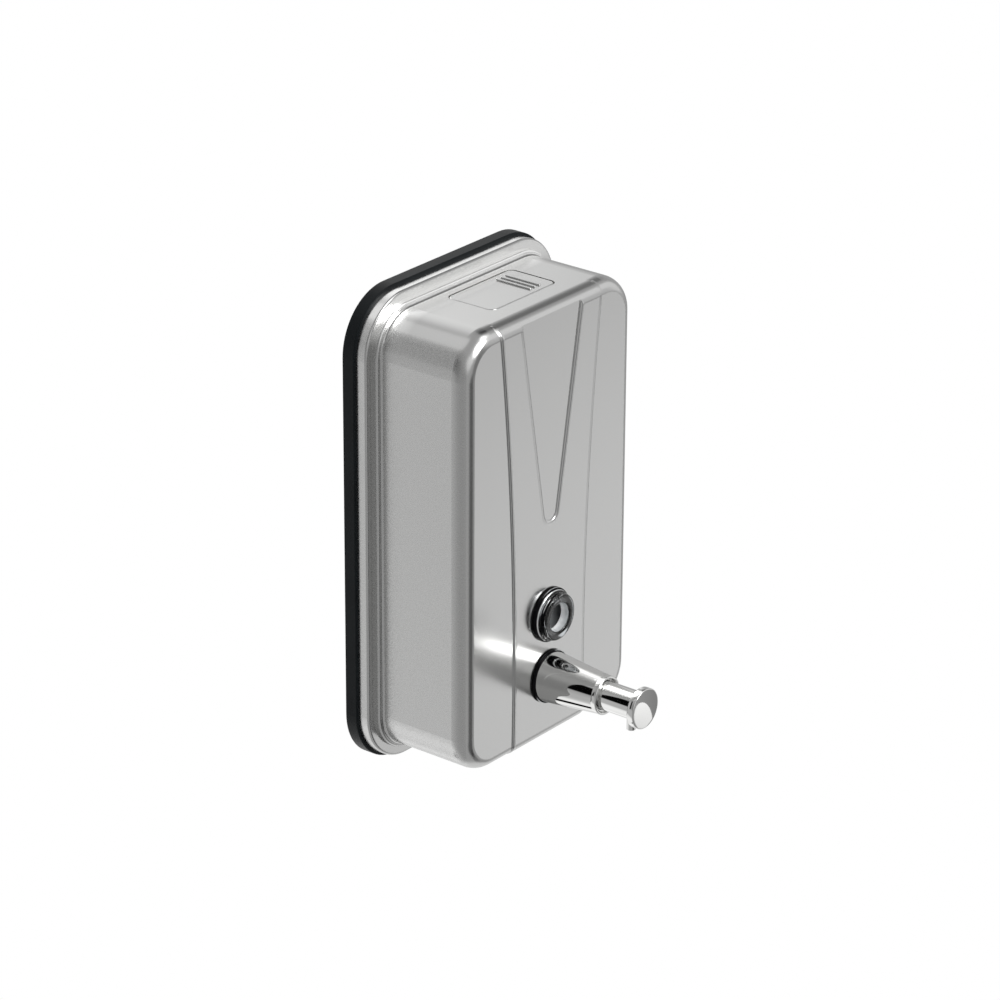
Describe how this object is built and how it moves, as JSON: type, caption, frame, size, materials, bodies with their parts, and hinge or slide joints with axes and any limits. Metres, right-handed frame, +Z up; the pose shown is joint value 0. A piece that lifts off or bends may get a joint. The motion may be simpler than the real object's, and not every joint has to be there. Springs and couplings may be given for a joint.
{
  "type": "wall mounted soap dispenser",
  "caption": "Upright satin steel soap dispenser for a wall, with a black back cover, a hinged fill lid on top, a round level window and a chromed push pump with a spout.",
  "frame": {"origin": "on the wall, at the middle of the wall bracket and of the back cover", "axes": "+X to the right seen from the front, +Y into the wall, +Z up; the pump points along -Y"},
  "size_m": [0.125, 0.1068, 0.2084],
  "materials": {
    "satin_steel": "fine satin, bead blasted sides",
    "plain_steel": "plain rolled sheet and turned steel",
    "white_plastic": "natural white moulding",
    "black_rubber": "glossy moulded rubber",
    "chrome": "mirror",
    "spring_steel": "bright drawn wire and polished balls",
    "black_plastic": "satin black moulding",
    "clear_acrylic": "clear polished acrylic",
    "tube_plastic": "milky flexible tube"
  },
  "bodies": {
    "case": {"housing": "satin_steel", "housing_tabs": "plain_steel", "back_cover": "black_plastic", "wall_bracket": "plain_steel", "rim_gasket": "black_rubber", "cover_screws": "plain_steel", "screw_seals": "black_rubber", "lid_pin": "plain_steel", "filler_frame": "white_plastic", "sight_gasket": "black_rubber", "sight_lens": "clear_acrylic", "sight_seal": "black_rubber", "sight_nut": "white_plastic", "pump_gasket": "black_rubber", "pump_cone": "chrome", "pump_seal": "black_rubber", "pump_nut": "white_plastic", "guide_bush": "white_plastic", "pump_barrel": "white_plastic", "return_spring": "spring_steel", "inlet_fitting": "white_plastic", "suction_tube": "tube_plastic"},
    "plunger": {"plunger_tube": "chrome", "push_head": "chrome", "nozzle": "chrome", "piston": "white_plastic", "piston_seal": "black_rubber", "outlet_spring": "spring_steel"},
    "lid": {"fill_lid": "satin_steel", "lid_carrier": "white_plastic"},
    "inlet_valve": {"inlet_ball": "spring_steel"},
    "outlet_valve": {"outlet_ball": "spring_steel"}
  },
  "joints": [
    {"name": "plunger_slide", "type": "slide", "parent": "case", "child": "plunger", "axis": [0, 1, 0], "range_m": [0, 0.01025], "stiffness_N_per_m": 600, "springref_m": -0.006, "deforming": ["return_spring"]},
    {"name": "lid_hinge", "type": "hinge", "parent": "case", "child": "lid", "pos_m": [-0.0144, -0.03015, 0.0941], "axis": [0, -1, 0], "range_deg": [0, 100]},
    {"name": "inlet_ball_lift", "type": "slide", "parent": "case", "child": "inlet_valve", "axis": [0, -1, 0], "range_m": [0, 0.0012]},
    {"name": "outlet_ball_lift", "type": "slide", "parent": "plunger", "child": "outlet_valve", "axis": [0, -1, 0], "range_m": [0, 0.0012], "stiffness_N_per_m": 20, "springref_m": -0.002, "deforming": ["outlet_spring"]}
  ]
}
